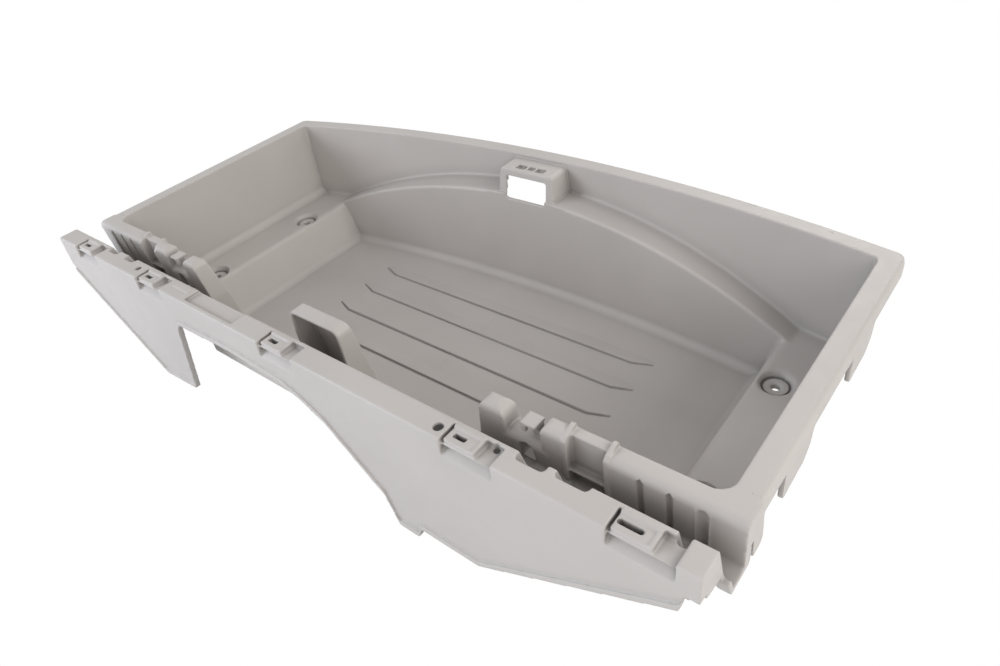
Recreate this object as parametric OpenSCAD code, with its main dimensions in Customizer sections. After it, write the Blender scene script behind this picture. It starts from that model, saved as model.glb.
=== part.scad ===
// Moulded storage tub for a luggage bay: one shell with a stepped basin, a hinge channel along
// its front, a clip rail in front of the channel and a shaped skirt that hangs from the rail.
// X runs along the tub, Y to its back, Z up. The origin is on the underside of the basin floor,
// in the middle of the part's width and depth. Inside the modules the rim lies at z = 0 and the
// back corners of the opening at y = 0.

/* [Basin] */
// Clear width of the opening between the side walls
open_w = 700; // [690:1:720]
// Clear depth of the opening beside the side walls
open_d = 264; // [256:1:272]
// How far the back wall bows out at the middle of the opening
back_bow = 42; // [36:1:48]
// Depth from the rim to the side shelves
shelf_depth = 93.5; // [88:0.5:98]
// Depth from the rim to the basin floor
floor_depth = 142.5; // [138:0.5:150]
// Wall thickness of the moulding
wall = 3.5; // [3:0.1:4]
// How far each side wall leans in between the rim and the shelf
side_lean = 3; // [2:0.5:6]
// Width of each side shelf at its outer corner
shelf_w = 55; // [50:1:60]
// How far each lower side wall leans in between the shelf and the floor
lower_lean = 17; // [12:1:20]
// Lean of the front wall, in mm for each mm of depth
front_slope = 0.14; // [0.1:0.01:0.16]
// Lean of the upper back wall, in mm for each mm of depth
back_slope = 0.05; // [0.03:0.01:0.07]
// Gap between the opening's back corners and the foot of the lower back wall at the middle
foot_gap = 4.5; // [2:0.5:8]
// Radius of the lower back wall in plan
lower_bow_r = 1950; // [1700:50:2400]
// Lean of the lower back wall, in mm for each mm of height
lower_back_slope = 0.03; // [0.02:0.01:0.05]
// Radius of the fillet between the walls and the floor
floor_r = 9; // [6:0.5:12]
// Radius of the rounded edge of the side shelves
edge_r = 6; // [4:0.5:8]
// Radius of the opening's corners in plan
opening_r = 12; // [8:0.5:14]

/* [Back ledge] */
// Depth of the arched back ledge below the rim at its crown
ledge_depth = 31; // [26:1:36]
// Half the width of the arch where it runs into the shelves
ledge_half = 300; // [292:1:306]

/* [Rim] */
// Width of the flat flange round the opening
rim_w = 17.5; // [15:0.5:20]
// Height of the lip that hangs from the outside of the flange
lip_h = 13; // [10:0.5:16]
// Radius of the outer corners in plan
corner_r = 18; // [12:1:24]
// Radius of the rounded outer top edge
rim_r = 4; // [2.5:0.5:5]
// Height of the side brackets below the rim
bracket_h = 35; // [28:1:40]
// Length of each side bracket
bracket_l = 46; // [36:1:54]
// Distance from the opening's back corners to each side bracket
bracket_y = [60, 178];
// Diameter of the pips in the flange
pip_d = 2.4; // [1.6:0.2:3]
// Half the distance between the pips
pip_x = 308; // [290:1:320]

/* [Channel and ridge] */
// Width of the ridge between the basin and the channel
ridge_w = 15; // [13:0.5:17]
// Clear width of the channel at its top
channel_w = 24.5; // [22:0.5:28]
// Clear width of the channel at its floor
channel_floor_w = 14; // [11:0.5:16]
// Depth of the channel floor below the rim
channel_depth = 40; // [34:1:46]
// Lean of the channel walls on the ridge side
channel_lean = 2; // [1:0.5:3]
// Distance from the middle to the inner side of each end post
post_x = 173; // [168:1:180]
// Width of each end post
post_w = 27; // [24:1:30]
// Lean of each post's inner side
post_lean = 6.5; // [3:0.5:8]
// Width of the low seat between a post and its saddle
seat_w = 30; // [27:1:33]
// Depth of the low seat below the rim
seat_depth = 18; // [15:0.5:19]
// Width of each saddle
saddle_w = 20; // [17:1:24]
// Height of each saddle above the rim
saddle_h = 1.5; // [0.5:0.5:3]
// Width of each hinge window
window_w = 27; // [22:1:29]
// Height of each hinge window
window_h = 22; // [18:1:24]
// Width of the bridge over each hinge window
bridge_w = 3.5; // [3:0.25:4.5]
// Depth of the recess below the bridge
window_d = 7; // [5:0.25:7.5]
// Radius of the upright grooves in the channel walls
groove_r = 2.2; // [1.6:0.1:2.8]
// Depth of the upright grooves
groove_d = 2.6; // [2:0.1:3.2]
// Distance of each upright groove from the part's end
groove_end = [65.5, 46.5, 26];
// Diameter of the pin recess beside each saddle
pin_d = 12; // [10:0.5:14]
// Depth of each pin recess's top below the rim
pin_top = 22; // [21:0.5:25]
// Distance from the middle to each pin recess
pin_x = 216; // [213:1:219]
// Width of the clip on each low seat
clip_w = 12; // [10:1:14]
// Distance from the middle to the clip on each low seat
clip_x = 219; // [216:1:222]
// Height of the clips' tops from the rim
clip_top = -4; // [-6:0.5:-3]
// Height of the pointed tops beside each hinge window
peak_h = 4; // [2:0.5:5]
// Width of the ribs beside each hinge window
collar_w = 3.5; // [2.5:0.5:4.5]
// Radius of the ridge's rounded front edge
ridge_r = 6; // [3:0.5:7]
// Radius of the widest upright groove
wide_groove_r = 4.2; // [3:0.1:5]
// Height of the lip round the channel's open ends
end_lip = 8; // [5:0.5:10]
// Height of the bottom edge of the rail's ends below the rim
web_low = 15; // [12:1:18]

/* [Hook box] */
// Width of the hollow hook box in the middle of the channel
hook_w = 63; // [56:1:70]
// Depth of the hook box from front to back at its top
hook_d = 13.5; // [12:0.5:16]

/* [Clip rail] */
// Width of the rail's top
rail_w = 19.5; // [18:0.5:22]
// Height of the rail's top above the rim
rail_h = 6.2; // [4:0.2:8]
// Length of the rail
rail_l = 725; // [716:1:734]
// Distances of the clip towers from the middle
tower_x = [-315, -192, 0, 195, 317];
// Length of each clip pocket
pocket_l = 42; // [38:1:44]
// Distance from the slot's middle to the left end of its pocket
pocket_offset = 11; // [10:0.5:12]
// Depth of each pocket below the rail's top
pocket_depth = 5; // [4:0.2:6]
// Depth of the cut in the rail's front face below the rim
pocket_front = 9; // [6:0.5:10]
// Length of each clip tower
tower_l = 24; // [20:1:28]
// Height of the clip towers above the pocket floor
tower_h = 4; // [3:0.2:4.8]
// Length of the clip slots
slot_l = 10.5; // [8:0.5:12]
// Length of the long slot in the last tower
long_slot_l = 16.5; // [12:0.5:18]
// Width of the clip slots
slot_w = 3.5; // [3:0.25:4.5]
// Left end, length and depth of each notch in the rail's back edge
notches = [[-281, 18, 6], [-249, 18, 6], [234.5, 22, 6.5], [262.5, 23.5, 5], [340, 8, 5]];
// Place, distance from the back edge and diameter of each round hole in the rail's top
rail_holes = [[-215, 8.5, 6.5], [177, 11, 7.5], [219.5, 4, 4.5]];
// Distance from the slot's middle to the left end of its tower
slot_back = 9; // [8:0.5:10]
// Length of the small pad on the rail's top
pad_l = 26; // [20:1:30]
// Height of the small pad
pad_h = 1; // [0.4:0.2:1.2]
// Distance from the middle to the pad
pad_x = 141; // [139:1:143]
// Length of the dip in the rail's top
dip_l = 72; // [60:1:76]
// Distance from the middle to the right end of the dip
dip_x = 51; // [46:1:60]
// Depth of the dip
dip_depth = 3.6; // [2:0.2:4]

/* [Skirt] */
// Lean of the skirt, in mm for each mm of height
skirt_slope = 0.052; // [0.03:0.005:0.07]
// Depth of the skirt's lower edge below the rim at its deepest
skirt_depth = 110; // [100:1:116]
// Height of the bead along the skirt's lower edge
bead_h = 5; // [4:0.5:7]
// How far the bead stands proud of the skirt
bead_t = 2; // [1:0.25:3]

/* [Latch housing] */
// Width of the housing at its top
latch_w = 68; // [60:1:76]
// How far the housing's top lies below the rim
latch_drop = 4.7; // [4:0.1:8]
// Distance from the housing's top front edge to the back corners of the opening
latch_y = 15.3; // [13:0.1:18]
// Width of the window in the housing's front
latch_window_w = 52; // [44:1:56]
// Height of the window in the housing's front
latch_window_h = 24; // [18:1:26]
// Thickness of the housing's front
latch_wall = 1.8; // [1.6:0.1:3]
// Length of the recess in the housing's top
latch_slot_l = 36; // [28:1:40]

/* [Fixings] */
// Distance between the screw holes along X
screw_pitch_x = 617; // [612:1:624]
// Distance between the screw holes along Y
screw_pitch_y = 138; // [130:1:142]
// Distance from the opening's back corners to the first screw hole
screw_y = 68.5; // [64:0.5:76]
// Diameter of the screw holes
screw_d = 7; // [5.5:0.1:8.5]
// Diameter of the washer seat round each hole
seat_d = 21; // [18:0.5:24]
// Diameter of the mouth of each screw recess
recess_d = 30; // [27:0.5:33]
// Depth of each screw recess
recess_depth = 5; // [4:0.5:7]

/* [Floor ribs] */
// Number of raised strips on the floor
rib_count = 4; // [1:1:4]
// Distance from one strip to the next
rib_pitch = 40; // [36:1:44]
// Distance from the opening's back corners to the first strip
rib_y = 58; // [50:1:66]
// Length of each strip at its straight front edge
rib_l = 332; // [300:2:380]
// Width of each strip
rib_w = 14; // [10:1:18]
// Height of each strip
rib_h = 1.6; // [0.8:0.1:2]

/* [Hidden] */
tub_color = [0.78, 0.77, 0.74];
eps = 0.05;
above = 30;
round_fn = 24;
bow_fn = 360;

bow_r = (pow(open_w / 2, 2) + pow(back_bow, 2)) / (2 * back_bow);
ledge_rise = shelf_depth - ledge_depth;
ledge_r = (pow(ledge_half, 2) + pow(ledge_rise, 2)) / (2 * ledge_rise);
shelf_x = open_w / 2 - side_lean;
edge_x = shelf_x - shelf_w;
floor_x = edge_x - lower_lean;
rim_x = open_w / 2 + rim_w;
ridge_y = -open_d - ridge_w;
rail_back_y = ridge_y - channel_w;
rail_front_y = rail_back_y - rail_w;
channel_back_y = ridge_y + channel_lean;
channel_front_y = channel_back_y - channel_floor_w;
split_y = (channel_back_y + channel_front_y) / 2;
front_low = -floor_depth + 16;
deep = -2 * floor_depth;
pocket_z = rail_h - pocket_depth;
slot_y = rail_front_y + 9;
post_inset = 0.2;

seat_x = post_x + post_w;
saddle_x = seat_x + seat_w;
window_x = saddle_x + saddle_w;

origin_y = (back_bow + rim_w + rail_front_y - skirt_slope * (skirt_depth + 12 + rail_h) - bead_t) / 2;
origin_z = -floor_depth - wall;

// A section drawn in X and Z, drawn out along Y
module along_y(y0, y1)
    translate([0, y1, 0])
        rotate([90, 0, 0])
            linear_extrude(y1 - y0)
                children();

// A section drawn in Y and Z, drawn out along X
module along_x(x0, x1)
    translate([x0, 0, 0])
        rotate([90, 0, 90])
            linear_extrude(x1 - x0)
                children();

// A section drawn in radius and Z, turned about the upright axis of a bowed wall
module about_bow(reach, r)
    translate([0, reach - r, 0])
        rotate_extrude($fn = bow_fn)
            children();

module both_sides() {
    children();
    mirror([1, 0, 0])
        children();
}

// Rounds the outward corners of a section, and the inward ones if a second radius is given
module softened(r, inward = 0)
    offset(r = -inward, $fn = round_fn)
        offset(delta = inward)
            offset(r = r, $fn = round_fn)
                offset(delta = -r)
                    children();

// Basin

module basin_side_section(g)
    offset(r = g, $fn = round_fn)
        softened(floor_r, edge_r)
            polygon([
                [-open_w / 2, above],
                [-open_w / 2, 0],
                [-shelf_x, -shelf_depth],
                [-edge_x, -shelf_depth],
                [-floor_x, -floor_depth],
                [floor_x, -floor_depth],
                [edge_x, -shelf_depth],
                [shelf_x, -shelf_depth],
                [open_w / 2, 0],
                [open_w / 2, above]
            ]);

module basin_front_section(g)
    offset(r = g, $fn = round_fn)
        softened(floor_r)
            polygon([
                [-open_d - front_slope * above, above],
                [-open_d + front_slope * floor_depth, -floor_depth],
                [2 * back_bow, -floor_depth],
                [2 * back_bow, above]
            ]);

module basin_back_section(g)
    polygon([
        [bow_r - open_d - 3 * back_bow, above],
        [bow_r - open_d - 3 * back_bow, -floor_depth - 2 * wall],
        [bow_r + g - back_slope * (floor_depth + 2 * wall), -floor_depth - 2 * wall],
        [bow_r + g + back_slope * above, above]
    ]);

module lower_back_section(g)
    offset(r = g, $fn = round_fn)
        softened(floor_r)
            polygon([
                [lower_bow_r - open_d, above],
                [lower_bow_r - open_d, -floor_depth - eps],
                [lower_bow_r, -floor_depth - eps],
                [lower_bow_r + lower_back_slope * (floor_depth + above), above]
            ]);

// What lies behind the lower back wall and below the arched ledge
module ledge_block(g)
    difference() {
        intersection() {
            translate([0, 2 * back_bow, -ledge_depth - ledge_r])
                rotate([90, 0, 0])
                    cylinder(r = ledge_r - g, h = 4 * back_bow, $fn = bow_fn);
            translate([-ledge_half - wall, -2 * back_bow, -floor_depth - 3 * wall])
                cube([2 * (ledge_half + wall), 4 * back_bow, floor_depth]);
        }
        about_bow(foot_gap, lower_bow_r)
            lower_back_section(g);
    }

// The opening in plan, with its rounded corners
module opening_outline(g)
    offset(r = opening_r + g + eps, $fn = 48)
        offset(delta = -opening_r)
            intersection() {
                translate([0, back_bow - bow_r])
                    circle(r = bow_r + 2, $fn = bow_fn);
                translate([-open_w / 2, -open_d])
                    square([open_w, 2 * open_d]);
            }

module basin(g)
    difference() {
        intersection() {
            along_y(-open_d - 2 * above, 2 * back_bow)
                basin_side_section(g);
            along_x(-open_w, open_w)
                basin_front_section(g);
            about_bow(back_bow, bow_r)
                basin_back_section(g);
            translate([0, 0, -floor_depth - 2 * wall])
                linear_extrude(floor_depth + 2 * wall + above - 1)
                    opening_outline(g);
        }
        ledge_block(g);
    }

// The outside of the basin, cut off at the rim; its front wall ends at the low shelf between
// the end posts
module basin_outer()
    difference() {
        basin(wall);
        translate([-open_w, -open_w, 0])
            cube([2 * open_w, 2 * open_w, 2 * above]);
        translate([-post_x, -2 * open_d, -shelf_depth])
            cube([2 * post_x, open_d + front_slope * shelf_depth + eps, 2 * shelf_depth]);
        translate([-window_x + collar_w / 2, -2 * open_d, -channel_depth])
            cube([2 * window_x - collar_w, open_d + front_slope * channel_depth + eps, 2 * channel_depth]);
    }

// Rim

module rim_outline(d)
    offset(r = corner_r - d, $fn = 48)
        offset(delta = -corner_r)
            intersection() {
                translate([0, back_bow - bow_r])
                    circle(r = bow_r + rim_w, $fn = bow_fn);
                translate([-rim_x, -2 * open_d])
                    square([2 * rim_x, 3 * open_d]);
            }

module rim_side_section(d)
    softened(rim_r - d / 2)
        translate([-rim_x + d, -2 * lip_h])
            square([2 * (rim_x - d), 2 * lip_h - d]);

module rim_back_section(d)
    softened(rim_r - d / 2)
        translate([bow_r - 2 * open_d, -2 * lip_h])
            square([2 * open_d + rim_w - d, 2 * lip_h - d]);

module rim_form(d, front, low)
    intersection() {
        along_y(front, 2 * back_bow)
            rim_side_section(d);
        about_bow(back_bow, bow_r)
            rim_back_section(d);
        translate([0, 0, low])
            linear_extrude(-low + above)
                rim_outline(d - eps);
    }

module rim()
    difference() {
        rim_form(0, ridge_y, -lip_h);
        rim_form(wall, 2 * ridge_y, -2 * lip_h + 1);
        translate([-open_w, 2 * ridge_y, -2 * lip_h])
            cube([2 * open_w, -2 * ridge_y - open_d + 1, 3 * lip_h]);
    }

module bracket(y)
    along_x(rim_x - wall, rim_x)
        softened(3)
            polygon([
                [-y, -lip_h / 2],
                [-y - 3, -bracket_h * 0.75],
                [-y - 12, -bracket_h],
                [-y - bracket_l, -bracket_h - 2],
                [-y - bracket_l, -lip_h / 2]
            ]);

// Channel and ridge

// What the ridge between the basin and the channel fills down to a given height, solid
module ridge_region(top, low)
    polygon([
        [-open_d - front_slope * top + 1, top],
        [ridge_y, top],
        [channel_back_y, -channel_depth],
        [split_y - 4, -channel_depth],
        [split_y - 4, low],
        [-open_d - front_slope * low + 1, low]
    ]);

// What the low shelf between the end posts fills down to a given height, solid
module low_region(low)
    polygon([
        [-open_d + front_slope * shelf_depth + 1, -shelf_depth],
        [split_y - 4, -shelf_depth],
        [split_y - 4, low],
        [-open_d - front_slope * low + 1, low]
    ]);

function skirt_y(z) = rail_front_y - skirt_slope * (rail_h - z);

// What the clip rail and the skirt fill between a given channel floor and a given height, solid
module rail_region(floor_z, low)
    polygon([
        [split_y + 4, floor_z],
        [channel_front_y, floor_z],
        [channel_front_y, -channel_depth],
        [rail_back_y, rail_h],
        [rail_front_y, rail_h],
        [skirt_y(low), low],
        [split_y + 4, low]
    ]);

module channel_void_region(top)
    offset(delta = -wall)
        softened(2, 2)
            union() {
                ridge_region(top, deep);
                rail_region(-channel_depth, deep);
            }

module low_void_region()
    offset(delta = -wall)
        softened(2, 2)
            union() {
                low_region(deep);
                rail_region(-shelf_depth, deep);
            }

// A slice of the solid ridge and its half of the channel floor
module ridge_slice(top, into)
    softened(0, 3)
        union() {
            softened(ridge_r)
                polygon([
                    [-open_d - front_slope * top + into, top],
                    [ridge_y, top],
                    [channel_back_y, -channel_depth],
                    [channel_back_y, -channel_depth - wall],
                    [-open_d + front_slope * (channel_depth + wall) + into, -channel_depth - wall]
                ]);
            translate([split_y - 4, -channel_depth - wall])
                square([channel_back_y - split_y + 2 * ridge_r, wall]);
        }

// A piece of the solid ridge with a rounded top
module ridge_piece(x0, x1, top, r, into)
    intersection() {
        along_x(x0, x1)
            ridge_slice(top, into);
        along_y(channel_front_y - above, -open_d + above)
            softened(r)
                translate([x0, deep])
                    square([x1 - x0, top - deep]);
    }

// An end post seen from the front, down to below the part
module post_outline()
    softened(8)
        polygon([
            [post_x, deep],
            [post_x, -channel_depth],
            [post_x + post_lean, 0],
            [seat_x, 0],
            [seat_x, deep]
        ]);

module ridge_half() {
    intersection() {
        along_x(post_x, seat_x)
            ridge_slice(0, -post_inset);
        along_y(channel_front_y - above, -open_d + above)
            post_outline();
    }
    ridge_piece(seat_x - wall, saddle_x + wall, -seat_depth, 1, -post_inset);
    ridge_piece(saddle_x, window_x, saddle_h, 6, -post_inset);
    ridge_piece(window_x - wall, rim_x, 0, 3, 2 * wall);
    collar(window_x - collar_w);
    collar(window_x + window_w);
    post_web();
}

// The thin rib that wraps the ridge at each end of a hinge window, with its pointed top
module collar(x)
    along_x(x, x + collar_w)
        softened(1.5)
            polygon([
                [-open_d - post_inset, peak_h],
                [-open_d - 4, peak_h],
                [-open_d - 8, 2],
                [ridge_y + 3, 1],
                [ridge_y - 1.5, -4],
                [channel_back_y - 1.5, -channel_depth + 2],
                [-open_d - 2, -channel_depth]
            ]);

// Closes the side of each end post, from the low shelf to the underside of the channel
module post_web()
    along_x(post_x, post_x + wall)
        polygon([
            [-open_d + front_slope * channel_depth + 1, -channel_depth],
            [channel_front_y - 1, -channel_depth],
            [channel_front_y - 1, -shelf_depth - wall / 2],
            [-open_d + front_slope * shelf_depth + 1, -shelf_depth - wall / 2]
        ]);

module front_void_half() {
    intersection() {
        along_x(post_x, seat_x)
            channel_void_region(0);
        along_y(rail_front_y - 2 * above, 0)
            offset(delta = -wall)
                post_outline();
    }
    along_x(seat_x - 2 * wall, saddle_x + 2 * wall)
        channel_void_region(-seat_depth);
    along_x(saddle_x + wall, window_x - wall)
        channel_void_region(saddle_h);
    along_x(window_x - 2 * wall, rail_l / 2 - wall)
        channel_void_region(0);
    along_x(rail_l / 2 - 2 * wall, rim_x + 1)
        intersection() {
            channel_void_region(0);
            polygon([
                [rail_front_y - above, deep],
                [rail_front_y - above, -web_low],
                [rail_front_y + 1, -web_low],
                [rail_front_y + 8, -web_low - 7],
                [channel_front_y - 9, -web_low - 10],
                [0, -web_low - 10],
                [0, deep]
            ]);
        }
    along_x(0, post_x + 2 * wall)
        low_void_region();
}

// The lip round the channel's open end
module channel_end() {
    along_x(rim_x - wall, rim_x)
        difference() {
            ridge_slice(0, 2 * wall);
            offset(delta = -end_lip)
                softened(2, 2)
                    ridge_region(0, deep);
        }
    along_x(rail_l / 2 - wall, rim_x)
        softened(1)
            polygon([
                [split_y + 4, -channel_depth],
                [channel_front_y, -channel_depth],
                [channel_front_y - 5, -channel_depth + 14],
                [channel_front_y - 8, -channel_depth + 12],
                [channel_front_y - 3, -channel_depth - wall],
                [split_y + 4, -channel_depth - wall]
            ]);
}

function groove_size(i) = i == 2 ? wide_groove_r : groove_r;

// Stands a child at the top of each upright groove, leaning with the ridge's face
module at_groove(i, depth)
    translate([rim_x - groove_end[i], ridge_y + depth, -4 - groove_size(i)])
        rotate([180 + atan2(channel_lean, channel_depth), 0, 0])
            children();

// The upright grooves in the ridge
module groove_cuts()
    for (i = [0 : len(groove_end) - 1])
        at_groove(i, groove_d - groove_size(i)) {
            cylinder(r = groove_size(i), h = channel_depth - 5 - groove_size(i), $fn = round_fn);
            sphere(r = groove_size(i), $fn = round_fn);
        }

// The thick backing behind each upright groove
module groove_backing()
    for (i = [0 : len(groove_end) - 1])
        at_groove(i, groove_d)
            translate([0, 0, -2])
                cylinder(r = groove_size(i) + 1, h = channel_depth - 4, $fn = round_fn);

// The set-back panel below each bridge, the slot behind the bridge and the pin recess
module window_cuts() {
    translate([window_x, ridge_y - 2 * wall, -5 - window_h])
        cube([window_w, 2 * wall + window_d, window_h + above]);
    translate([window_x, ridge_y - 2 * wall, -channel_depth])
        cube([window_w, 2 * wall + window_d + 2, channel_depth - window_h - 7]);
    translate([window_x, ridge_y + window_d + bridge_w, -14])
        cube([window_w, ridge_w - window_d - bridge_w - 1.3, above]);
    pin_form(pin_d / 2, wall, 3 * wall);
}

// A recess for a hinge pin, open down to the channel's floor
module pin_form(r, front, back)
    along_y(ridge_y - front, ridge_y + back)
        union() {
            translate([pin_x, -pin_top - pin_d / 2])
                circle(r = r, $fn = 48);
            translate([pin_x - r, -channel_depth])
                square([2 * r, channel_depth - pin_top - pin_d / 2]);
        }

// The thick walls round the set-back panel and the pin recess
module window_backing() {
    translate([window_x - wall, ridge_y + 3, -channel_depth - 1])
        cube([window_w + 2 * wall, ridge_w - 3 + post_inset, channel_depth - 3]);
    intersection() {
        pin_form(pin_d / 2 + 1, wall, ridge_w - 2);
        along_x(pin_x - pin_d, pin_x + pin_d)
            offset(delta = -1)
                ridge_slice(-seat_depth, 0);
    }
}

// The clip that stands on each low seat: a stem, a top plate and a turned-down lip
module seat_clip() {
    along_x(clip_x, clip_x + clip_w / 2)
        polygon([
            [-open_d - 2, -seat_depth - 2],
            [-open_d - 2, clip_top - 1],
            [-open_d - 10, clip_top - 1],
            [-open_d - 7, -seat_depth - 2]
        ]);
    translate([clip_x - clip_w / 2, -open_d - clip_w - 1, clip_top - 3])
        cube([clip_w, clip_w, 3]);
    translate([clip_x - clip_w / 2, -open_d - clip_w - 1, clip_top - 8])
        cube([clip_w / 3, 3, 6]);
}

module hook_box()
    difference() {
        intersection() {
            along_x(-hook_w / 2, hook_w / 2)
                softened(2)
                    polygon([
                        [-open_d + front_slope, 0],
                        [-open_d - hook_d, 0],
                        [-open_d - hook_d - 1.5, -shelf_depth - 2],
                        [-open_d + front_slope * shelf_depth + 1, -shelf_depth - 2]
                    ]);
            along_y(ridge_y - above, -open_d + above)
                softened(8)
                    translate([-hook_w / 2, -2 * shelf_depth])
                        square([hook_w, 2 * shelf_depth]);
        }
        intersection() {
            along_x(-hook_w, hook_w)
                polygon([
                    [-open_d - wall, above],
                    [-open_d - 3 * hook_d, above],
                    [-open_d - 3 * hook_d, -shelf_depth],
                    [-open_d + front_slope * shelf_depth - wall, -shelf_depth]
                ]);
            along_y(2 * ridge_y, 0)
                softened(8 - wall)
                    translate([-hook_w / 2 + wall, -shelf_depth])
                        square([hook_w - 2 * wall, shelf_depth - wall]);
        }
    }

// Clip rail and skirt

module rail_solid(x0, x1)
    along_x(x0, x1)
        softened(2, 2)
            rail_region(-channel_depth, front_low);

module rail_low_solid() {
    along_x(-post_x - 1, post_x + 1)
        softened(2, 2)
            rail_region(-shelf_depth, front_low);
    along_x(-post_x - 1, post_x + 1)
        low_region(-shelf_depth - wall);
}

// Thick walls inside the rail below a dip or behind a notch
module rail_backing(x0, x1)
    along_x(x0, x1)
        difference() {
            offset(delta = -1)
                softened(2, 2)
                    rail_region(-channel_depth, front_low);
            offset(delta = -wall)
                difference() {
                    rail_region(-channel_depth, deep);
                    children();
                }
            translate([rail_front_y - above, deep])
                square([open_d, -deep - channel_depth]);
        }

module pocket_cut_region()
    polygon([
        [rail_back_y - 3, rail_h + 10],
        [rail_back_y - 3, pocket_z],
        [rail_front_y + 1.5, pocket_z],
        [rail_front_y + 2, pocket_z - 1.2],
        [rail_front_y + 6.5, pocket_z - 1.8],
        [rail_front_y + 5, pocket_z - 5],
        [skirt_y(-pocket_front), -pocket_front],
        [rail_front_y - 8, -pocket_front],
        [rail_front_y - 8, rail_h + 10]
    ]);

module dip_cut_region()
    polygon([
        [rail_back_y + 8, rail_h + 10],
        [rail_back_y + 8, rail_h - dip_depth],
        [rail_front_y + 5, rail_h - dip_depth],
        [rail_front_y + 3, rail_h + 10]
    ]);

module notch_cut_region(depth)
    polygon([
        [rail_back_y - depth, rail_h + 10],
        [rail_back_y - depth, -channel_depth + 4],
        [split_y, -channel_depth + 4],
        [split_y, rail_h + 10]
    ]);

// A notch in the rail's back edge, with rounded corners
module notch_cut(x, long, depth)
    translate([x, rail_back_y - depth, -channel_depth + 6])
        linear_extrude(channel_depth + above)
            softened(3.5)
                square([long, depth + channel_w]);

// A block with a raised bead along its back and its right side
module tower(x)
    translate([x - slot_back, 0, pocket_z - 1]) {
        translate([0, rail_front_y + 2.5, 0])
            cube([tower_l, rail_w - 6, tower_h + 1]);
        translate([0, rail_back_y - 5.5, 0])
            cube([tower_l + 1.5, 2.5, tower_h + 2.6]);
        translate([tower_l - 1, rail_front_y + 2.5, 0])
            cube([2.5, rail_w - 6, tower_h + 1.8]);
    }

module round_slot(x, long)
    translate([x, slot_y, pocket_z - 3 * wall])
        linear_extrude(6 * wall)
            offset(r = slot_w / 2 - eps, $fn = round_fn)
                square([long - slot_w, 2 * eps], center = true);

module square_slot(x, long)
    translate([x - long / 2, slot_y - slot_w / 2, pocket_z - 3 * wall])
        cube([long, slot_w, 6 * wall]);

module tower_slots()
    for (i = [0 : len(tower_x) - 1])
        if (i == len(tower_x) - 1)
            round_slot(tower_x[i], long_slot_l);
        else
            square_slot(tower_x[i], slot_l);

module skirt_outline()
    softened(2, 2)
        polygon([
            [-rail_l / 2 - 1, above],
            [-rail_l / 2 - 1, -26],
            [-229, -skirt_depth - 9],
            [-171, -skirt_depth - 4],
            [-150, -34],
            [-142, -26],
            [-62, -23],
            [10, -27],
            [30, -33],
            [55, -45],
            [96, -82],
            [109, -93],
            [119, -skirt_depth - 12],
            [140, -skirt_depth - 12],
            [145, -skirt_depth],
            [201, -skirt_depth],
            [rail_l / 2 - 10.5, -28],
            [rail_l / 2 - 8.5, -16],
            [rail_l / 2 + 1, -16],
            [rail_l / 2 + 1, above]
        ]);

module skirt_cut()
    along_y(rail_front_y - 2 * above, rail_front_y + 2 * wall)
        difference() {
            translate([-open_w, 2 * front_low])
                square([2 * open_w, -2 * front_low + above - 1]);
            skirt_outline();
        }

module skirt_bead()
    intersection() {
        along_y(rail_front_y - 2 * above, rail_front_y)
            difference() {
                skirt_outline();
                translate([0, bead_h])
                    skirt_outline();
                translate([-open_w, -14])
                    square([2 * open_w, 2 * above]);
            }
        along_x(-rail_l / 2 + 8, rail_l / 2 - 10)
            polygon([
                [skirt_y(0) - bead_t, 0],
                [skirt_y(0) + 1.5, 0],
                [skirt_y(front_low) + 1.5, front_low],
                [skirt_y(front_low) - bead_t, front_low]
            ]);
    }

module front_solid() {
    both_sides() {
        ridge_half();
        rail_solid(post_x - wall, rail_l / 2);
    }
    rail_low_solid();
}

module front_void() {
    both_sides()
        front_void_half();
}

module front_backing() {
    for (x = tower_x)
        rail_backing(x - pocket_offset - wall, x - pocket_offset + pocket_l + wall)
            pocket_cut_region();
    rail_backing(-dip_x - dip_l - wall, -dip_x + wall)
        dip_cut_region();
    for (n = notches)
        rail_backing(n[0] - wall, n[0] + n[1] + wall)
            notch_cut_region(n[2]);
}

module front_cuts() {
    for (x = tower_x)
        along_x(x - pocket_offset, x - pocket_offset + pocket_l)
            pocket_cut_region();
    along_x(-dip_x - dip_l, -dip_x)
        dip_cut_region();
    for (n = notches)
        notch_cut(n[0], n[1], n[2]);
    for (h = rail_holes)
        translate([h[0], rail_back_y - h[1], -above])
            cylinder(d = h[2], h = 2 * above, $fn = 48);
    skirt_cut();
}

// The small raised pad on the rail beside the dip
module rail_pad()
    translate([-pad_x - pad_l / 2, rail_back_y - 8.5, rail_h - 1])
        cube([pad_l, 6, 1 + pad_h]);

module front_part() {
    difference() {
        union() {
            difference() {
                front_solid();
                front_void();
            }
            front_backing();
            both_sides() {
                groove_backing();
                window_backing();
                channel_end();
            }
        }
        front_cuts();
        both_sides() {
            groove_cuts();
            window_cuts();
        }
    }
    for (x = tower_x)
        tower(x);
    both_sides()
        seat_clip();
    rail_pad();
    skirt_bead();
}

// Screw recesses

module at_screws()
    for (sx = [-1, 1], i = [0, 1])
        translate([sx * screw_pitch_x / 2, -screw_y - i * screw_pitch_y, -shelf_depth])
            children();

module screw_boss()
    translate([0, 0, -recess_depth - 2 * wall])
        cylinder(d = recess_d + 2 * wall, h = recess_depth + 2 * wall, $fn = 48);

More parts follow.
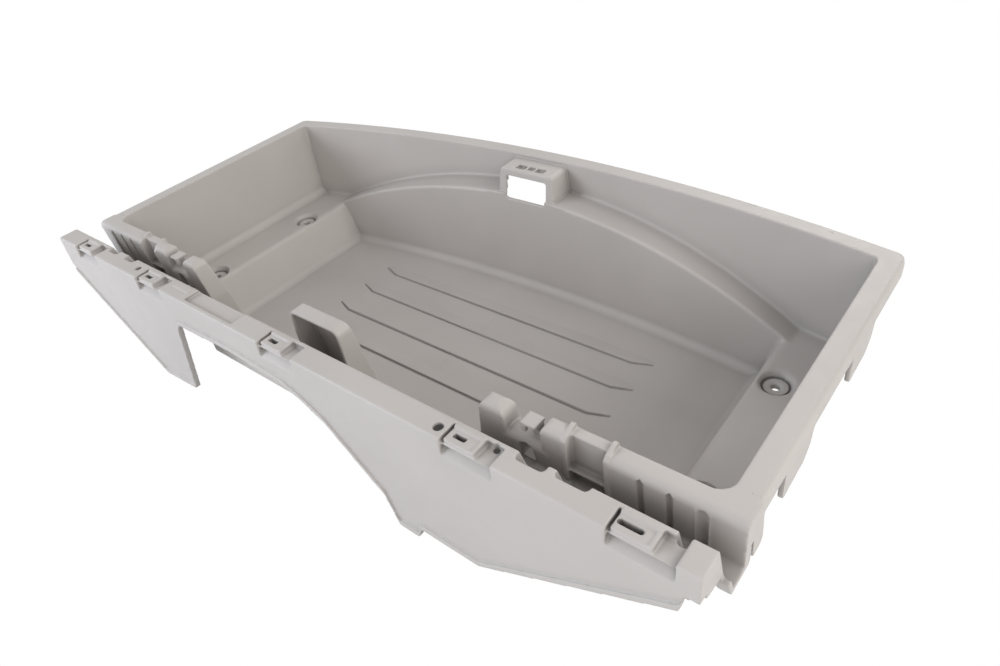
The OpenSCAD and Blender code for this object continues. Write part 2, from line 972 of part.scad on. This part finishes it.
module screw_recess() {
    translate([0, 0, -recess_depth])
        cylinder(d1 = seat_d + 3, d2 = recess_d, h = recess_depth + eps, $fn = 48);
    translate([0, 0, -recess_depth - 1.5])
        difference() {
            cylinder(d = seat_d + 3, h = 2, $fn = 48);
            translate([0, 0, -1])
                cylinder(d = seat_d, h = 4, $fn = 48);
        }
    translate([0, 0, -recess_depth - 3 * wall])
        cylinder(d = screw_d, h = 4 * wall, $fn = 48);
}

// Latch housing in the middle of the back wall

module latch_form()
    intersection() {
        along_x(-latch_w, latch_w)
            softened(2.5)
                polygon([
                    [back_bow + 2, -latch_drop],
                    [latch_y, -latch_drop],
                    [latch_y - 5.3, -36],
                    [latch_y - 8.5, -52],
                    [latch_y - 4, -54],
                    [latch_y - 3, -ledge_depth - 2.5],
                    [back_bow + 2, -ledge_depth - 2.5]
                ]);
        along_y(0, 2 * back_bow)
            softened(5)
                polygon([
                    [-latch_w / 2 - 9, -64],
                    [-latch_w / 2 - 4, -45],
                    [-latch_w / 2, -latch_drop],
                    [latch_w / 2, -latch_drop],
                    [latch_w / 2 + 4, -45],
                    [latch_w / 2 + 9, -64]
                ]);
    }

// The housing's hollow, its window, the recess in its top and the cable gap at its left
module latch_hollow() {
    intersection() {
        along_x(-latch_w, latch_w)
            polygon([
                [2 * back_bow, -latch_drop - 2.5],
                [latch_y + latch_wall, -latch_drop - 2.5],
                [latch_y - 5.3 + latch_wall, -36],
                [latch_y - 4.6 + latch_wall, -52],
                [2 * back_bow, -52]
            ]);
        along_y(0, 3 * back_bow)
            softened(1.5)
                polygon([
                    [-latch_w / 2 + latch_wall - 5, -52],
                    [-latch_w / 2 + latch_wall, -latch_drop - 2.5],
                    [latch_w / 2 - wall, -latch_drop - 2.5],
                    [latch_w / 2 - wall + 4, -52]
                ]);
    }
    along_y(0, back_bow)
        softened(3)
            translate([-latch_window_w / 2, -latch_drop - 8 - latch_window_h])
                square([latch_window_w, latch_window_h]);
    translate([0, 0, -60])
        linear_extrude(39)
            polygon([[-30, latch_y + 5], [-30, 38], [-50, 38]]);
    difference() {
        translate([-latch_slot_l / 2 + 1, latch_y + 4, -above / 2])
            cube([latch_slot_l, 8.5, above]);
        for (x = [-6, 5])
            translate([x, latch_y + 2, -latch_drop - 4])
                cube([2.5, 12, 3.2]);
        translate([-3, latch_y + 2, -latch_drop - 4])
            cube([8, 4.5, 3.2]);
    }
}

// Floor ribs

module floor_rib(y)
    intersection() {
        along_x(-rib_l, rib_l)
            polygon([
                [y, -floor_depth - 0.5],
                [y, -floor_depth + rib_h],
                [y + rib_w, -floor_depth],
                [y + rib_w, -floor_depth - 0.5]
            ]);
        translate([0, 0, -floor_depth - 1])
            linear_extrude(2 + rib_h)
                polygon([
                    [-rib_l / 2, y],
                    [-rib_l / 2 - 20, y + rib_w / 2],
                    [-rib_l / 2 - 20, y + rib_w / 2 + 2],
                    [-rib_l / 2, y + rib_w],
                    [rib_l / 2, y + rib_w],
                    [rib_l / 2 + 20, y + rib_w / 2 + 2],
                    [rib_l / 2 + 20, y + rib_w / 2],
                    [rib_l / 2, y]
                ]);
    }

module storage_tub()
    color(tub_color)
        translate([0, -origin_y, -origin_z])
            difference() {
                union() {
                    difference() {
                        union() {
                            basin_outer();
                            rim();
                            front_part();
                            hook_box();
                            both_sides()
                                for (y = bracket_y)
                                    bracket(y);
                            at_screws()
                                screw_boss();
                        }
                        basin(0);
                    }
                    latch_form();
                    for (i = [0 : rib_count - 1])
                        floor_rib(-rib_y - i * rib_pitch);
                }
                latch_hollow();
                tower_slots();
                at_screws()
                    screw_recess();
                for (sx = [-1, 1])
                    translate([sx * pip_x, 20.5, -0.6])
                        cylinder(d = pip_d, h = 2, $fn = round_fn);
            }

storage_tub();
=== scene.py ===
import bmesh
import bpy
import numpy as np
from mathutils import Matrix, Vector


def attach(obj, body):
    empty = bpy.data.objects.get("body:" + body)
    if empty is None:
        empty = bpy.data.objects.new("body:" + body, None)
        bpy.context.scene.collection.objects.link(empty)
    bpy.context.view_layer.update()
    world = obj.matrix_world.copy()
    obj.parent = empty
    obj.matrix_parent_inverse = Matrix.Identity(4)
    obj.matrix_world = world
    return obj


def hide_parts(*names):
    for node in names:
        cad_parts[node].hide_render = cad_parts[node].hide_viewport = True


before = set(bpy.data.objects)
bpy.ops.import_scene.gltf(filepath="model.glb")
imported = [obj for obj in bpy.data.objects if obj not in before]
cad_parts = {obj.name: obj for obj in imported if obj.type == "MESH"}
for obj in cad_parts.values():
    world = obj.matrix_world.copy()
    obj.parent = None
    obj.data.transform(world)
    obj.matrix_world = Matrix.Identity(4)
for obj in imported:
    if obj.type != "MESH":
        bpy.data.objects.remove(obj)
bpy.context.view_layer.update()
print("stage: frame loaded")

# The measuring frame has its origin on the rim; this moves it to the part's frame, in metres
rimShift = np.array([0.0, 0.13608, 0.146])

# cell is the side of the remeshing cells in metres. Each of the smoothing rounds pulls every point
# in and then out again; soft is the number of extra pulls on the ledge. Points within weld count as
# one, and margin is kept round a piece until it is cut.
shellLook = {
    "cell": 0.00075,
    "weld": 0.00001,
    "margin": 0.008,
    "rounds": 2,
    "pullIn": 0.6,
    "pullOut": -0.3,
    "soft": 40,
    "softPull": 0.5,
}
# low and high are a piece's corners in the measuring frame
pieces = {
    "basin_left_shell": {
        "triangles": 197000,
        "low": (-0.5, -0.2568, -0.3),
        "high": (0.0, 0.2, 0.1),
    },
    "basin_right_shell": {
        "triangles": 197000,
        "low": (-0.0001, -0.2568, -0.3),
        "high": (0.5, 0.2, 0.1),
    },
    "front_left_shell": {
        "triangles": 190000,
        "low": (-0.5, -0.5, -0.3),
        "high": (-0.06, -0.2566, 0.1),
    },
    "front_right_shell": {
        "triangles": 196000,
        "low": (-0.0601, -0.5, -0.3),
        "high": (0.5, -0.2566, 0.1),
    },
}
# The box in which the ledge and the wall under it are softened, and the latch housing's box, which
# isn't; the softening fades out over fade
ledgeSoft = {
    "low": (-0.34, -0.115, -0.125),
    "high": (0.34, 0.06, -0.012),
    "housingLow": (-0.056, 0.0, -0.075),
    "housingHigh": (0.056, 0.1, 0.05),
    "fade": 0.008,
}
# Boxes in the measuring frame, in millimetres: the wall behind the left of the latch window is
# opened, and a thin shelf in two parts closes most of the view through the latch recess
latchBoxes = {
    "opening": {"operation": "DIFFERENCE", "low": (-48, 36.5, -37), "high": (-34, 46.5, -27)},
    "shelf_left": {"operation": "UNION", "low": (-33.5, 18.5, -9.6), "high": (-9, 31, -8.1)},
    "shelf_right": {"operation": "UNION", "low": (-6.5, 18.5, -9.6), "high": (33, 31, -8.1)},
}
# Fine grooves pressed again after the smoothing, in the measuring frame in metres. One runs along the
# foot of each floor rib, straight in its middle and bent back at both ends.
ribGroove = {
    "first": -0.058,
    "pitch": 0.04,
    "count": 4,
    "foot": 0.0008,
    "straight": 0.166,
    "end": 0.186,
    "bend": 0.007,
    "level": -0.1425,
    "depth": 0.0009,
    "half": 0.0009,
}
# The other is a ring round each screw seat
ringGroove = {
    "radius": 0.01125,
    "sides": 32,
    "level": -0.0985,
    "depth": 0.0018,
    "half": 0.0009,
}
screws = [(0.3085, -0.0685), (-0.3085, -0.0685), (0.3085, -0.2065), (-0.3085, -0.2065)]
# A groove takes only the points within band of its level, and its sides slope over slope
pressLook = {
    "band": 0.0022,
    "slope": 0.0003,
}
# Painted shade: the hollow shade darkens the colour of hollows and the crease shade darkens it in sharp
# folds,
# where the form blocks light: to which tone, within which reach in metres and between which shares of
# open view
plasticLook = {
    "color": (0.462, 0.437, 0.418),
    "shade": (0.436, 0.412, 0.393),
    "shadeScale": 9.0,
    "deepTone": 0.62,
    "deepReach": 0.024,
    "deepView": (0.1, 0.85),
    "paintedCreaseShadeTone": 0.55,
    "paintedCreaseShadeReach": 0.004,
    "paintedCreaseShadeView": (0.55, 0.93),
    "paintedShadeSamples": 8,
    "roughness": 0.5,
    "roughSpread": 0.05,
    "roughScale": 60.0,
    "index": 1.48,
    "grain": 1700.0,
    "grainStrength": 0.6,
    "grainDepth": 0.00004,
}
# The camera as solved from the photograph: azimuth, elevation and roll in degrees, the place in the
# measuring frame, the focal length and the picture's width in pixels, and the film in millimetres
cameraLook = {
    "turns": (-44.406, 38.259, 9.782),
    "place": (0.438, -0.5105, 0.32679),
    "focal": 705.707,
    "width": 1000,
    "film": 36,
}
studioLook = {
    "floorHalf": 6.0,
    "floorColor": (0.8, 0.8, 0.8),
    "floorRoughness": 0.9,
    "floorWhite": 1.0,
    "sky": 0.56,
    "skyWhite": 1.0,
    "target": (0, 0, 0.05),
}
warm = (1, 0.975, 0.94)
cool = (0.85, 0.9, 1)
lamps = {
    "right": {"place": (2.0, 0.2, 1.2), "size": (1.2, 1.2), "power": 22, "color": warm},
    "right_front": {"place": (1.6, -1.6, 1.2), "size": (1.2, 1.2), "power": 12, "color": warm},
    "left_front": {"place": (-1.6, -1.6, 1.0), "size": (1.2, 1.2), "power": 30, "color": cool},
    "back": {"place": (0, 2.0, 1.4), "size": (1.2, 1.2), "power": 18, "color": warm},
    "front_low": {"place": (-0.6, -2.0, 0.25), "size": (1.2, 0.5), "power": 6, "color": cool},
}


def newMaterial(name):
    material = bpy.data.materials.new(name)
    material.use_nodes = True
    return material, material.node_tree.nodes, material.node_tree.links


def noiseNode(nodes, links, place, scale, detail):
    noise = nodes.new("ShaderNodeTexNoise")
    noise.inputs["Scale"].default_value = scale
    noise.inputs["Detail"].default_value = detail
    links.new(place.outputs["Object"], noise.inputs["Vector"])
    return noise


def rangeNode(nodes, links, source, low, high, toLow, toHigh):
    ranged = nodes.new("ShaderNodeMapRange")
    ranged.inputs["From Min"].default_value = low
    ranged.inputs["From Max"].default_value = high
    ranged.inputs["To Min"].default_value = toLow
    ranged.inputs["To Max"].default_value = toHigh
    links.new(source, ranged.inputs["Value"])
    return ranged


# Painted shade: 1 on open faces, falling to a tone where the form closes in within a reach, darkening
# the colour where light is blocked
def paintedShadeTone(nodes, links, kind):
    hollow = nodes.new("ShaderNodeAmbientOcclusion")
    hollow.samples = plasticLook["paintedShadeSamples"]
    hollow.inputs["Distance"].default_value = plasticLook[kind + "Reach"]
    closed, opened = plasticLook[kind + "View"]
    return rangeNode(nodes, links, hollow.outputs["AO"], closed, opened, plasticLook[kind + "Tone"], 1.0)


def tubPlastic():
    material, nodes, links = newMaterial("tub_plastic")
    shader = nodes["Principled BSDF"]
    place = nodes.new("ShaderNodeTexCoord")
    broad = noiseNode(nodes, links, place, plasticLook["shadeScale"], 2.0)
    share = rangeNode(nodes, links, broad.outputs["Fac"], 0.35, 0.65, 0.0, 1.0)
    tone = nodes.new("ShaderNodeMix")
    tone.data_type = "RGBA"
    tone.inputs["A"].default_value = (*plasticLook["color"], 1)
    tone.inputs["B"].default_value = (*plasticLook["shade"], 1)
    links.new(share.outputs["Result"], tone.inputs["Factor"])
    # Painted shade: the base colour is darkened in hollows and in sharp creases where light is blocked
    deep = paintedShadeTone(nodes, links, "deep")
    paintedCreaseShade = paintedShadeTone(nodes, links, "paintedCreaseShade")
    paintedShadeShare = nodes.new("ShaderNodeMath")
    paintedShadeShare.operation = "MULTIPLY"
    links.new(deep.outputs["Result"], paintedShadeShare.inputs[0])
    links.new(paintedCreaseShade.outputs["Result"], paintedShadeShare.inputs[1])
    toneWithPaintedShade = nodes.new("ShaderNodeVectorMath")
    toneWithPaintedShade.operation = "SCALE"
    links.new(tone.outputs["Result"], toneWithPaintedShade.inputs["Vector"])
    links.new(paintedShadeShare.outputs["Value"], toneWithPaintedShade.inputs["Scale"])
    links.new(toneWithPaintedShade.outputs["Vector"], shader.inputs["Base Color"])
    middle = noiseNode(nodes, links, place, plasticLook["roughScale"], 3.0)
    rough = plasticLook["roughness"]
    spread = plasticLook["roughSpread"]
    sheen = rangeNode(nodes, links, middle.outputs["Fac"], 0.3, 0.7, rough - spread, rough + spread)
    links.new(sheen.outputs["Result"], shader.inputs["Roughness"])
    shader.inputs["IOR"].default_value = plasticLook["index"]
    fine = noiseNode(nodes, links, place, plasticLook["grain"], 2.0)
    grain = nodes.new("ShaderNodeBump")
    grain.inputs["Strength"].default_value = plasticLook["grainStrength"]
    grain.inputs["Distance"].default_value = plasticLook["grainDepth"]
    links.new(fine.outputs["Fac"], grain.inputs["Height"])
    links.new(grain.outputs["Normal"], shader.inputs["Normal"])
    return material


def addCamera():
    azimuth, elevation, roll = np.radians(cameraLook["turns"])
    level = np.cos(elevation)
    forward = np.array([np.sin(azimuth) * level, np.cos(azimuth) * level, -np.sin(elevation)])
    right = np.array([np.cos(azimuth), -np.sin(azimuth), 0.0])
    down = np.cross(forward, right)
    rowRight = np.cos(roll) * right + np.sin(roll) * down
    rowDown = -np.sin(roll) * right + np.cos(roll) * down
    place = np.array(cameraLook["place"]) + rimShift
    data = bpy.data.cameras.new("camera")
    data.sensor_width = cameraLook["film"]
    data.lens = cameraLook["focal"] / cameraLook["width"] * cameraLook["film"]
    camera = bpy.data.objects.new("camera", data)
    bpy.context.scene.collection.objects.link(camera)
    axes = Matrix((rowRight, -rowDown, -forward)).transposed()
    camera.matrix_world = Matrix.Translation(Vector(place)) @ axes.to_4x4()
    bpy.context.scene.camera = camera


def addFloor():
    half = studioLook["floorHalf"]
    mesh = bpy.data.meshes.new("floor")
    corners = [(-half, -half, 0), (half, -half, 0), (half, half, 0), (-half, half, 0)]
    mesh.from_pydata(corners, [], [(0, 1, 2, 3)])
    floor = bpy.data.objects.new("floor", mesh)
    bpy.context.scene.collection.objects.link(floor)
    material, nodes, links = newMaterial("floor_paper")
    shader = nodes["Principled BSDF"]
    shader.inputs["Base Color"].default_value = (*studioLook["floorColor"], 1)
    shader.inputs["Roughness"].default_value = studioLook["floorRoughness"]
    # The camera sees the paper as plain white
    white = nodes.new("ShaderNodeEmission")
    white.inputs["Strength"].default_value = studioLook["floorWhite"]
    path = nodes.new("ShaderNodeLightPath")
    mixed = nodes.new("ShaderNodeMixShader")
    links.new(path.outputs["Is Camera Ray"], mixed.inputs["Fac"])
    links.new(shader.outputs["BSDF"], mixed.inputs[1])
    links.new(white.outputs["Emission"], mixed.inputs[2])
    links.new(mixed.outputs["Shader"], nodes["Material Output"].inputs["Surface"])
    mesh.materials.append(material)


# The sky lights the part evenly and is plain white to the camera
def addWorld():
    world = bpy.data.worlds.new("world")
    world.use_nodes = True
    nodes, links = world.node_tree.nodes, world.node_tree.links
    path = nodes.new("ShaderNodeLightPath")
    sky, white = studioLook["sky"], studioLook["skyWhite"]
    ranged = rangeNode(nodes, links, path.outputs["Is Camera Ray"], 0.0, 1.0, sky, white)
    links.new(ranged.outputs["Result"], nodes["Background"].inputs["Strength"])
    nodes["Background"].inputs["Color"].default_value = (1, 1, 1, 1)
    bpy.context.scene.world = world


def addLight(name, look):
    data = bpy.data.lights.new(name, "AREA")
    data.shape = "RECTANGLE"
    data.size, data.size_y = look["size"]
    data.energy = look["power"]
    data.color = look["color"]
    light = bpy.data.objects.new(name, data)
    bpy.context.scene.collection.objects.link(light)
    place = Vector(look["place"])
    turn = (Vector(studioLook["target"]) - place).to_track_quat("-Z", "Y")
    light.matrix_world = Matrix.Translation(place) @ turn.to_matrix().to_4x4()


def neighbourPull(places, edges, share):
    count = len(places)
    total = np.empty_like(places)
    for axis in range(3):
        total[:, axis] = np.bincount(edges[:, 0], weights=places[edges[:, 1], axis], minlength=count)
        total[:, axis] += np.bincount(edges[:, 1], weights=places[edges[:, 0], axis], minlength=count)
    meeting = np.maximum(np.bincount(edges.ravel(), minlength=count), 1)[:, None]
    return places + share * (total / meeting - places)


# 1 well inside a box, 0 outside it, with a linear fade at its sides
def boxShare(places, low, high, fade):
    depth = np.minimum(places - np.array(low), np.array(high) - places).min(axis=1)
    return np.clip(depth / fade, 0, 1)


# How much each point of the basin's walls is softened
def ledgeShare(places):
    rim = places - rimShift
    ledge = boxShare(rim, ledgeSoft["low"], ledgeSoft["high"], ledgeSoft["fade"])
    housing = boxShare(rim, ledgeSoft["housingLow"], ledgeSoft["housingHigh"], ledgeSoft["fade"])
    return ledge * (1 - housing)


# Pulls, in place, only the points with a share above zero
def softenWhere(places, edges, share, rounds):
    chosen = share > 0
    near = chosen[edges].any(axis=1)
    used = np.unique(edges[near])
    local = np.full(len(places), -1)
    local[used] = np.arange(len(used))
    part = local[edges[near]]
    held = places[used]
    strength = shellLook["softPull"] * share[used, None]
    for turn in range(rounds):
        held = neighbourPull(held, part, strength)
    places[used] = held


# Pushes down the upper face along a line of points
def pressLine(places, line, groove):
    line = np.array(line) + rimShift[:2]
    level = groove["level"] + rimShift[2]
    reach = groove["half"]
    near = np.abs(places[:, 2] - level) < pressLook["band"]
    near &= (places[:, :2] > line.min(axis=0) - reach).all(axis=1)
    near &= (places[:, :2] < line.max(axis=0) + reach).all(axis=1)
    flat = places[near, :2]
    away = np.full(len(flat), np.inf)
    for start, end in zip(line[:-1], line[1:]):
        along = end - start
        share = np.clip((flat - start) @ along / (along @ along), 0, 1)
        away = np.minimum(away, np.linalg.norm(flat - start - share[:, None] * along, axis=1))
    push = groove["depth"] * np.clip((reach - away) / pressLook["slope"], 0, 1)
    places[near, 2] = np.where(push > 0, np.minimum(places[near, 2], level - push), places[near, 2])


def pressGrooves(places):
    straight, end = ribGroove["straight"], ribGroove["end"]
    for turn in range(ribGroove["count"]):
        y = ribGroove["first"] - turn * ribGroove["pitch"] - ribGroove["foot"]
        back = y + ribGroove["bend"]
        pressLine(places, [(-end, back), (-straight, y), (straight, y), (end, back)], ribGroove)
    turns = np.linspace(0, 2 * np.pi, ringGroove["sides"] + 1)
    circle = np.stack([np.cos(turns), np.sin(turns)], axis=1) * ringGroove["radius"]
    for middle in screws:
        pressLine(places, circle + np.array(middle), ringGroove)


def evaluatedMesh(piece):
    graph = bpy.context.evaluated_depsgraph_get()
    return bpy.data.meshes.new_from_object(piece.evaluated_get(graph))


def readPlaces(mesh):
    places = np.empty(len(mesh.vertices) * 3)
    mesh.vertices.foreach_get("co", places)
    return places.reshape(-1, 3)


# A mesh of four-sided faces from its points and the faces' corners
def quadMesh(name, places, quads):
    mesh = bpy.data.meshes.new(name)
    mesh.vertices.add(len(places))
    mesh.vertices.foreach_set("co", places.ravel())
    mesh.loops.add(quads.size)
    mesh.loops.foreach_set("vertex_index", quads.ravel())
    mesh.polygons.add(len(quads))
    mesh.polygons.foreach_set("loop_start", np.arange(len(quads)) * 4)
    mesh.update(calc_edges=True)
    return mesh


# Every edge of the four-sided faces, once
def quadEdges(quads, count):
    sides = np.vstack([quads[:, [0, 1]], quads[:, [1, 2]], quads[:, [2, 3]], quads[:, [3, 0]]])
    sides.sort(axis=1)
    edges = np.unique(sides[:, 0] * count + sides[:, 1])
    return np.stack([edges // count, edges % count], axis=1)


# Keeps only what lies in a box, cut cleanly at its sides
def cutToBox(mesh, low, high):
    form = bmesh.new()
    form.from_mesh(mesh)
    for axis in range(3):
        for level, side in ((low[axis], -1), (high[axis], 1)):
            normal = [0, 0, 0]
            normal[axis] = side
            place = [0, 0, 0]
            place[axis] = level
            everything = form.verts[:] + form.edges[:] + form.faces[:]
            bmesh.ops.bisect_plane(
                form, geom=everything, plane_co=place, plane_no=normal, clear_outer=True)
    form.to_mesh(mesh)
    form.free()


# A closed box between two corners in the measuring frame, in millimetres
def boxObject(name, low, high):
    form = bmesh.new()
    bmesh.ops.create_cube(form, size=1)
    low, high = np.array(low) / 1000 + rimShift, np.array(high) / 1000 + rimShift
    for corner in form.verts:
        corner.co = Vector((low + high) / 2 + np.array(corner.co) * (high - low))
    mesh = bpy.data.meshes.new(name)
    form.to_mesh(mesh)
    form.free()
    piece = bpy.data.objects.new(name, mesh)
    bpy.context.scene.collection.objects.link(piece)
    return piece


# The node's form with the latch boxes, in small even cells: the points and the corners of the
# four-sided faces
def cellForm(node):
    form = bmesh.new()
    form.from_mesh(node.data)
    bmesh.ops.remove_doubles(form, verts=form.verts, dist=shellLook["weld"])
    mesh = bpy.data.meshes.new("whole")
    form.to_mesh(mesh)
    form.free()
    whole = bpy.data.objects.new("whole", mesh)
    bpy.context.scene.collection.objects.link(whole)
    scratch = [whole]
    for name, look in latchBoxes.items():
        box = boxObject(name, look["low"], look["high"])
        scratch.append(box)
        joined = whole.modifiers.new(name, "BOOLEAN")
        joined.operation = look["operation"]
        joined.object = box
        joined.solver = "EXACT"
    remesh = whole.modifiers.new("cells", "REMESH")
    remesh.mode = "VOXEL"
    remesh.voxel_size = shellLook["cell"]
    mesh = evaluatedMesh(whole)
    for piece in scratch:
        bpy.data.objects.remove(piece)
    places = readPlaces(mesh)
    quads = np.empty(len(mesh.loops), dtype=np.int64)
    mesh.loops.foreach_get("vertex_index", quads)
    bpy.data.meshes.remove(mesh)
    return places, quads.reshape(-1, 4)


def softShell(name, places, quads, look, material):
    low = np.array(look["low"]) + rimShift
    high = np.array(look["high"]) + rimShift
    margin = shellLook["margin"]
    inside = ((places > low - margin) & (places < high + margin)).all(axis=1)
    quads = quads[inside[quads].all(axis=1)]
    used, quads = np.unique(quads, return_inverse=True)
    quads = quads.reshape(-1, 4)
    places = places[used]
    edges = quadEdges(quads, len(places))
    softenWhere(places, edges, ledgeShare(places), shellLook["soft"])
    for turn in range(shellLook["rounds"]):
        places = neighbourPull(places, edges, shellLook["pullIn"])
        places = neighbourPull(places, edges, shellLook["pullOut"])
    pressGrooves(places)
    piece = bpy.data.objects.new(name, quadMesh(name, places, quads))
    bpy.context.scene.collection.objects.link(piece)
    # A four-sided face counts as two triangles
    thinner = piece.modifiers.new("thinner", "DECIMATE")
    thinner.ratio = look["triangles"] / (2 * len(quads))
    piece.data = evaluatedMesh(piece)
    piece.modifiers.clear()
    cutToBox(piece.data, low, high)
    piece.data.polygons.foreach_set("use_smooth", [True] * len(piece.data.polygons))
    piece.data.materials.append(material)
    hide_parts("storage_tub")
    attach(piece, "root")
    print("stage:", name, len(piece.data.polygons))


addCamera()
addFloor()
addWorld()
for name, look in lamps.items():
    addLight(name, look)
bpy.context.scene.view_settings.view_transform = "Standard"
print("stage: camera, floor and lights")

plastic = tubPlastic()
places, quads = cellForm(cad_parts["storage_tub"])
print("stage: cells", len(quads))
for name, look in pieces.items():
    softShell(name, places, quads, look, plastic)
